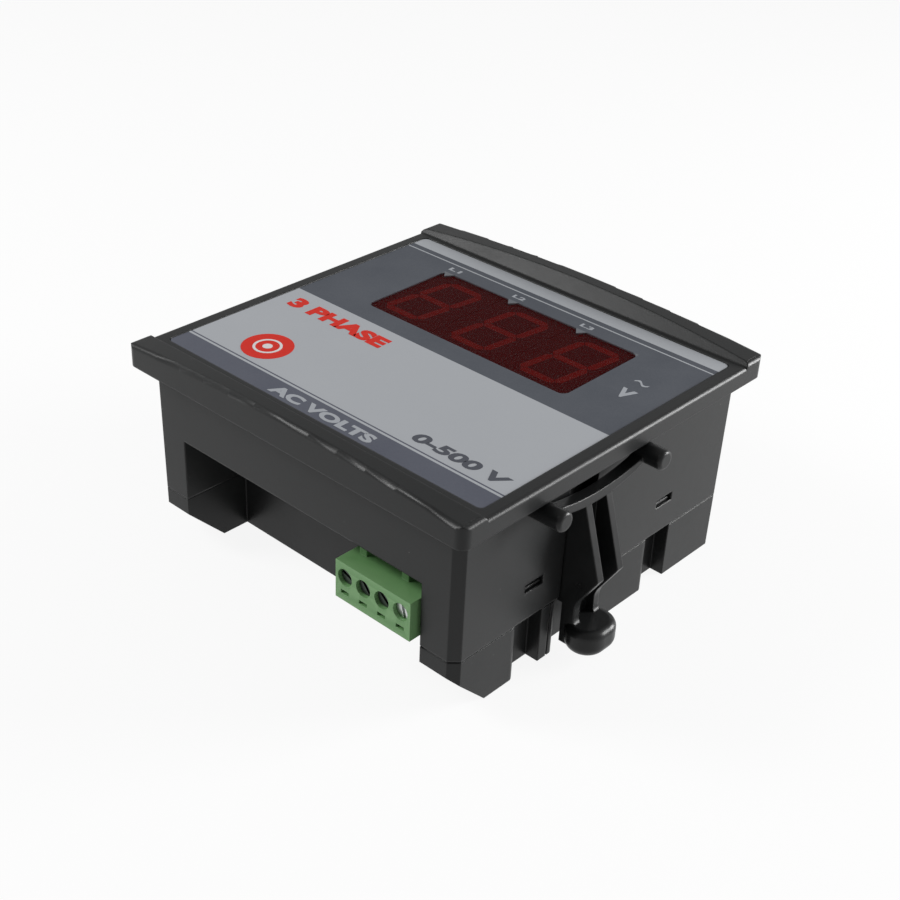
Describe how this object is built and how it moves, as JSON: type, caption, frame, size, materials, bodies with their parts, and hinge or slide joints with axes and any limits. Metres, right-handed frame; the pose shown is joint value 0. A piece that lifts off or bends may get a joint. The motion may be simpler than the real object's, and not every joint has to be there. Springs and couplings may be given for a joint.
{
  "type": "digital panel meter",
  "caption": "Square digital panel meter with arched bezel, red display window, push-in side clips and a pluggable screw terminal block.",
  "frame": {"origin": "middle of the rear cover's back face, at the bottom centre of the bounding box", "axes": "+X to the right of the face, +Y up the face, +Z out of the face; the meter lies on its back"},
  "size_m": [0.1084, 0.096, 0.0508],
  "materials": {
    "housing_plastic": "black moulded ABS, semi-matt with a fine grain",
    "cover_plastic": "black moulded ABS, semi-matt",
    "clip_plastic": "black moulded polyamide, satin",
    "overlay": "printed polyester overlay, light grey, slate and blue-grey fields, fine matt texture",
    "filter": "dark red polished acrylic, smoked",
    "display_body": "dark red tinted display face",
    "segment": "unlit red light segments",
    "board": "glass-epoxy board with green solder mask",
    "chip_plastic": "black moulding compound with tinned leads",
    "key_body": "black key switch body",
    "key_cap": "black key plunger",
    "terminal_green": "green moulded polyamide, satin",
    "contact": "tinned brass strip",
    "clamp_metal": "nickel-plated brass cage",
    "screw_metal": "zinc-plated steel screw with slot",
    "pin_metal": "tinned pin",
    "core_steel": "stacked laminations, varnished",
    "coil": "amber tape over copper winding",
    "capacitor_sleeve": "dark blue shrink sleeve",
    "varistor_coat": "blue epoxy coating",
    "resistor": "pale blue lacquer with colour rings",
    "strip": "black plastic pin strip",
    "board_screw": "zinc-plated self-tapping screw"
  },
  "bodies": {
    "meter": {"front_housing": "housing_plastic", "rear_cover": "cover_plastic", "face_label": "overlay", "red_filter": "filter", "display_1": "display_body", "display_2": "display_body", "display_3": "display_body", "segments_1": "segment", "segments_2": "segment", "segments_3": "segment", "display_board": "board", "controller_chip": "chip_plastic", "key_switch": "key_body", "terminal_header": "terminal_green", "header_pins": "pin_metal", "main_board": "board", "transformer_core": "core_steel", "transformer_coil": "coil", "capacitor": "capacitor_sleeve", "varistor": "varistor_coat", "input_resistors": "resistor", "link_pins": "pin_metal", "link_strips": "strip", "board_screws": "board_screw"},
    "right_clip": {"clip_right": "clip_plastic"},
    "left_clip": {"clip_left": "clip_plastic"},
    "plug": {"terminal_plug": "terminal_green", "plug_contacts": "contact"},
    "key": {"key_plunger": "key_cap"},
    "screw_1": {"terminal_screw_1": "screw_metal"},
    "clamp_1": {"wire_clamp_1": "clamp_metal"},
    "screw_2": {"terminal_screw_2": "screw_metal"},
    "clamp_2": {"wire_clamp_2": "clamp_metal"},
    "screw_3": {"terminal_screw_3": "screw_metal"},
    "clamp_3": {"wire_clamp_3": "clamp_metal"},
    "screw_4": {"terminal_screw_4": "screw_metal"},
    "clamp_4": {"wire_clamp_4": "clamp_metal"}
  },
  "joints": [
    {"name": "right_clip_slide", "type": "slide", "parent": "meter", "child": "right_clip", "axis": [0, 0, 1], "range_m": [-0.01, 0]},
    {"name": "left_clip_slide", "type": "slide", "parent": "meter", "child": "left_clip", "axis": [0, 0, 1], "range_m": [-0.01, 0]},
    {"name": "plug_slide", "type": "slide", "parent": "meter", "child": "plug", "axis": [0, 0, -1], "range_m": [0, 0.0095]},
    {"name": "key_press", "type": "slide", "parent": "meter", "child": "key", "axis": [0, 0, -1], "range_m": [0, 0.00025], "stiffness_N_per_m": 400},
    {"name": "screw_1_turn", "type": "hinge", "parent": "plug", "child": "screw_1", "pos_m": [0.01618, -0.045, 0.0206], "axis": [0, 1, 0], "range_deg": [0, 1441]},
    {"name": "clamp_1_rise", "type": "slide", "parent": "plug", "child": "clamp_1", "axis": [0, -1, 0], "range_m": [0, 0.002]},
    {"name": "screw_2_turn", "type": "hinge", "parent": "plug", "child": "screw_2", "pos_m": [0.02126, -0.045, 0.0206], "axis": [0, 1, 0], "range_deg": [0, 1441]},
    {"name": "clamp_2_rise", "type": "slide", "parent": "plug", "child": "clamp_2", "axis": [0, -1, 0], "range_m": [0, 0.002]},
    {"name": "screw_3_turn", "type": "hinge", "parent": "plug", "child": "screw_3", "pos_m": [0.02634, -0.045, 0.0206], "axis": [0, 1, 0], "range_deg": [0, 1441]},
    {"name": "clamp_3_rise", "type": "slide", "parent": "plug", "child": "clamp_3", "axis": [0, -1, 0], "range_m": [0, 0.002]},
    {"name": "screw_4_turn", "type": "hinge", "parent": "plug", "child": "screw_4", "pos_m": [0.03142, -0.045, 0.0206], "axis": [0, 1, 0], "range_deg": [0, 1441]},
    {"name": "clamp_4_rise", "type": "slide", "parent": "plug", "child": "clamp_4", "axis": [0, -1, 0], "range_m": [0, 0.002]}
  ],
  "couplings": [
    {"joint": "screw_1_turn", "follows": "clamp_1_rise", "rad_per_m": 12566},
    {"joint": "screw_2_turn", "follows": "clamp_2_rise", "rad_per_m": 12566},
    {"joint": "screw_3_turn", "follows": "clamp_3_rise", "rad_per_m": 12566},
    {"joint": "screw_4_turn", "follows": "clamp_4_rise", "rad_per_m": 12566}
  ]
}
